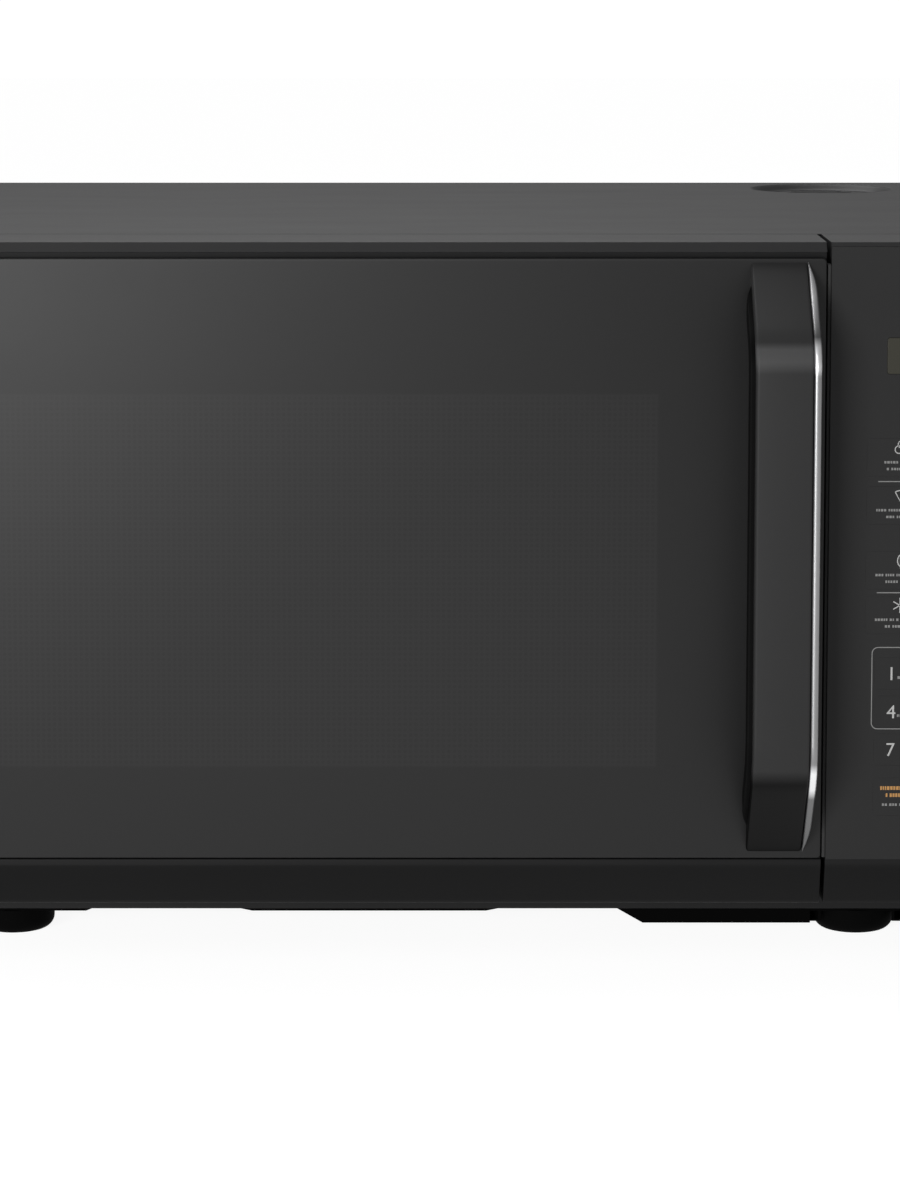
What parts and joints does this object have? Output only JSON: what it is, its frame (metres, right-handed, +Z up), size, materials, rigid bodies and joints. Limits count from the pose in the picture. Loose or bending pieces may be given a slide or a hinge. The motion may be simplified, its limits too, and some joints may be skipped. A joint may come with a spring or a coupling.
{
  "type": "microwave oven",
  "caption": "Countertop microwave oven with a side-hinged glazed door, a bar handle with a bright edge, a turntable and a push-key panel.",
  "frame": {"origin": "on the floor, under the middle of the oven's bounding box", "axes": "+X to the oven's right, +Y to its rear, +Z up; the door faces -Y"},
  "size_m": [0.488, 0.404, 0.292],
  "materials": {
    "cover_paint": "fine satin powder coat, black-grey",
    "galvanised_steel": "galvanised sheet, dull",
    "cavity_enamel": "grey baked enamel",
    "front_paint": "black baked enamel",
    "guide_metal": "plain sheet",
    "mica": "mica sheet",
    "magnetron_metal": "plain metal",
    "core_steel": "varnished laminations",
    "capacitor_can": "drawn can",
    "fan_plastic": "moulded, dark",
    "motor_metal": "plated steel",
    "white_plastic": "moulded, off-white",
    "lamp_glass": "clear bulb",
    "switch_plastic": "moulded, black",
    "trim_plastic": "fine-grained moulded plastic, black",
    "panel_face": "smooth dark panel sheet with pale print",
    "key_face": "smooth dark key with pale print",
    "display_lens": "smoked olive lens",
    "circuit_board": "green laminate",
    "foot_rubber": "black rubber",
    "zinc": "zinc plated",
    "tray_glass": "clear tempered glass",
    "door_glass": "dark smoked glass",
    "screen_paint": "black perforated steel",
    "handle_satin": "dark satin finish",
    "bright_trim": "bright plated strip",
    "spring_steel": "music wire"
  },
  "bodies": {
    "case": {"outer_cover": "cover_paint", "rear_panel": "galvanised_steel", "base_plate": "galvanised_steel", "oven_cavity": "cavity_enamel", "front_plate": "front_paint", "waveguide": "guide_metal", "waveguide_cover": "mica", "magnetron": "magnetron_metal", "transformer": "core_steel", "capacitor": "capacitor_can", "fan_housing": "fan_plastic", "fan_motor": "motor_metal", "air_duct": "white_plastic", "cavity_lamp": "lamp_glass", "turntable_motor": "motor_metal", "latch_board": "white_plastic", "interlock_switches": "switch_plastic", "control_panel_frame": "trim_plastic", "keypad_overlay": "panel_face", "display_window": "display_lens", "control_board": "circuit_board", "feet": "foot_rubber", "cord_gland": "trim_plastic", "case_screws": "zinc", "hinge_brackets": "zinc"},
    "door": {"door_frame": "trim_plastic", "door_glass": "door_glass", "door_screen": "screen_paint", "choke_cover": "trim_plastic", "door_handle": "handle_satin", "handle_trim": "bright_trim", "latch_spring": "spring_steel"},
    "latch": {"latch_hooks": "white_plastic"},
    "fan": {"fan_blade": "white_plastic"},
    "coupler": {"turntable_coupler": "white_plastic"},
    "tray": {"glass_tray": "tray_glass"},
    "ring": {"roller_ring": "white_plastic"},
    "roller_a": {"roller_1": "white_plastic"},
    "roller_b": {"roller_2": "white_plastic"},
    "roller_c": {"roller_3": "white_plastic"},
    "pad_preset_1": {"key_preset_1": "key_face"},
    "pad_preset_2": {"key_preset_2": "key_face"},
    "pad_preset_3": {"key_preset_3": "key_face"},
    "pad_preset_4": {"key_preset_4": "key_face"},
    "pad_preset_5": {"key_preset_5": "key_face"},
    "pad_preset_6": {"key_preset_6": "key_face"},
    "pad_preset_7": {"key_preset_7": "key_face"},
    "pad_preset_8": {"key_preset_8": "key_face"},
    "pad_1": {"key_1": "key_face"},
    "pad_2": {"key_2": "key_face"},
    "pad_3": {"key_3": "key_face"},
    "pad_4": {"key_4": "key_face"},
    "pad_5": {"key_5": "key_face"},
    "pad_6": {"key_6": "key_face"},
    "pad_7": {"key_7": "key_face"},
    "pad_8": {"key_8": "key_face"},
    "pad_9": {"key_9": "key_face"},
    "pad_stop": {"key_stop": "key_face"},
    "pad_0": {"key_0": "key_face"},
    "pad_start": {"key_start": "key_face"}
  },
  "joints": [
    {"name": "door_swing", "type": "hinge", "parent": "case", "child": "door", "pos_m": [-0.236, -0.139, 0.15], "axis": [0, 0, 1], "range_deg": [-105, 0]},
    {"name": "door_latch_lift", "type": "slide", "parent": "door", "child": "latch", "axis": [0, 0, 1], "range_m": [0, 0.004], "stiffness_N_per_m": 400, "springref_m": -0.003, "deforming": ["latch_spring"]},
    {"name": "coupler_spin", "type": "hinge", "parent": "case", "child": "coupler", "pos_m": [-0.06, 0.0275, 0.05], "axis": [0, 0, 1], "continuous": true},
    {"name": "glass_tray_lift", "type": "slide", "parent": "coupler", "child": "tray", "axis": [0, 0, 1], "range_m": [0, 0.06]},
    {"name": "fan_spin", "type": "hinge", "parent": "case", "child": "fan", "pos_m": [0.184, 0.168, 0.196], "axis": [0, 1, 0], "continuous": true},
    {"name": "ring_spin", "type": "hinge", "parent": "case", "child": "ring", "pos_m": [-0.06, 0.0275, 0.0523], "axis": [0, 0, 1], "continuous": true},
    {"name": "roller_a_roll", "type": "hinge", "parent": "ring", "child": "roller_a", "pos_m": [0.036, 0.0275, 0.0523], "axis": [1, 0, 0], "continuous": true},
    {"name": "roller_b_roll", "type": "hinge", "parent": "ring", "child": "roller_b", "pos_m": [-0.108, 0.11064, 0.0523], "axis": [-0.5, 0.866, 0], "continuous": true},
    {"name": "roller_c_roll", "type": "hinge", "parent": "ring", "child": "roller_c", "pos_m": [-0.108, -0.05564, 0.0523], "axis": [-0.5, -0.866, 0], "continuous": true},
    {"name": "press_preset_1", "type": "slide", "parent": "case", "child": "pad_preset_1", "axis": [0, 1, 0], "range_m": [0, 0.0005], "stiffness_N_per_m": 4000},
    {"name": "press_preset_2", "type": "slide", "parent": "case", "child": "pad_preset_2", "axis": [0, 1, 0], "range_m": [0, 0.0005], "stiffness_N_per_m": 4000},
    {"name": "press_preset_3", "type": "slide", "parent": "case", "child": "pad_preset_3", "axis": [0, 1, 0], "range_m": [0, 0.0005], "stiffness_N_per_m": 4000},
    {"name": "press_preset_4", "type": "slide", "parent": "case", "child": "pad_preset_4", "axis": [0, 1, 0], "range_m": [0, 0.0005], "stiffness_N_per_m": 4000},
    {"name": "press_preset_5", "type": "slide", "parent": "case", "child": "pad_preset_5", "axis": [0, 1, 0], "range_m": [0, 0.0005], "stiffness_N_per_m": 4000},
    {"name": "press_preset_6", "type": "slide", "parent": "case", "child": "pad_preset_6", "axis": [0, 1, 0], "range_m": [0, 0.0005], "stiffness_N_per_m": 4000},
    {"name": "press_preset_7", "type": "slide", "parent": "case", "child": "pad_preset_7", "axis": [0, 1, 0], "range_m": [0, 0.0005], "stiffness_N_per_m": 4000},
    {"name": "press_preset_8", "type": "slide", "parent": "case", "child": "pad_preset_8", "axis": [0, 1, 0], "range_m": [0, 0.0005], "stiffness_N_per_m": 4000},
    {"name": "press_1", "type": "slide", "parent": "case", "child": "pad_1", "axis": [0, 1, 0], "range_m": [0, 0.0005], "stiffness_N_per_m": 4000},
    {"name": "press_2", "type": "slide", "parent": "case", "child": "pad_2", "axis": [0, 1, 0], "range_m": [0, 0.0005], "stiffness_N_per_m": 4000},
    {"name": "press_3", "type": "slide", "parent": "case", "child": "pad_3", "axis": [0, 1, 0], "range_m": [0, 0.0005], "stiffness_N_per_m": 4000},
    {"name": "press_4", "type": "slide", "parent": "case", "child": "pad_4", "axis": [0, 1, 0], "range_m": [0, 0.0005], "stiffness_N_per_m": 4000},
    {"name": "press_5", "type": "slide", "parent": "case", "child": "pad_5", "axis": [0, 1, 0], "range_m": [0, 0.0005], "stiffness_N_per_m": 4000},
    {"name": "press_6", "type": "slide", "parent": "case", "child": "pad_6", "axis": [0, 1, 0], "range_m": [0, 0.0005], "stiffness_N_per_m": 4000},
    {"name": "press_7", "type": "slide", "parent": "case", "child": "pad_7", "axis": [0, 1, 0], "range_m": [0, 0.0005], "stiffness_N_per_m": 4000},
    {"name": "press_8", "type": "slide", "parent": "case", "child": "pad_8", "axis": [0, 1, 0], "range_m": [0, 0.0005], "stiffness_N_per_m": 4000},
    {"name": "press_9", "type": "slide", "parent": "case", "child": "pad_9", "axis": [0, 1, 0], "range_m": [0, 0.0005], "stiffness_N_per_m": 4000},
    {"name": "press_stop", "type": "slide", "parent": "case", "child": "pad_stop", "axis": [0, 1, 0], "range_m": [0, 0.0005], "stiffness_N_per_m": 4000},
    {"name": "press_0", "type": "slide", "parent": "case", "child": "pad_0", "axis": [0, 1, 0], "range_m": [0, 0.0005], "stiffness_N_per_m": 4000},
    {"name": "press_start", "type": "slide", "parent": "case", "child": "pad_start", "axis": [0, 1, 0], "range_m": [0, 0.0005], "stiffness_N_per_m": 4000}
  ],
  "couplings": [
    {"joint": "ring_spin", "follows": "coupler_spin", "ratio": 0.5},
    {"joint": "roller_a_roll", "follows": "coupler_spin", "ratio": -6},
    {"joint": "roller_b_roll", "follows": "coupler_spin", "ratio": -6},
    {"joint": "roller_c_roll", "follows": "coupler_spin", "ratio": -6}
  ]
}
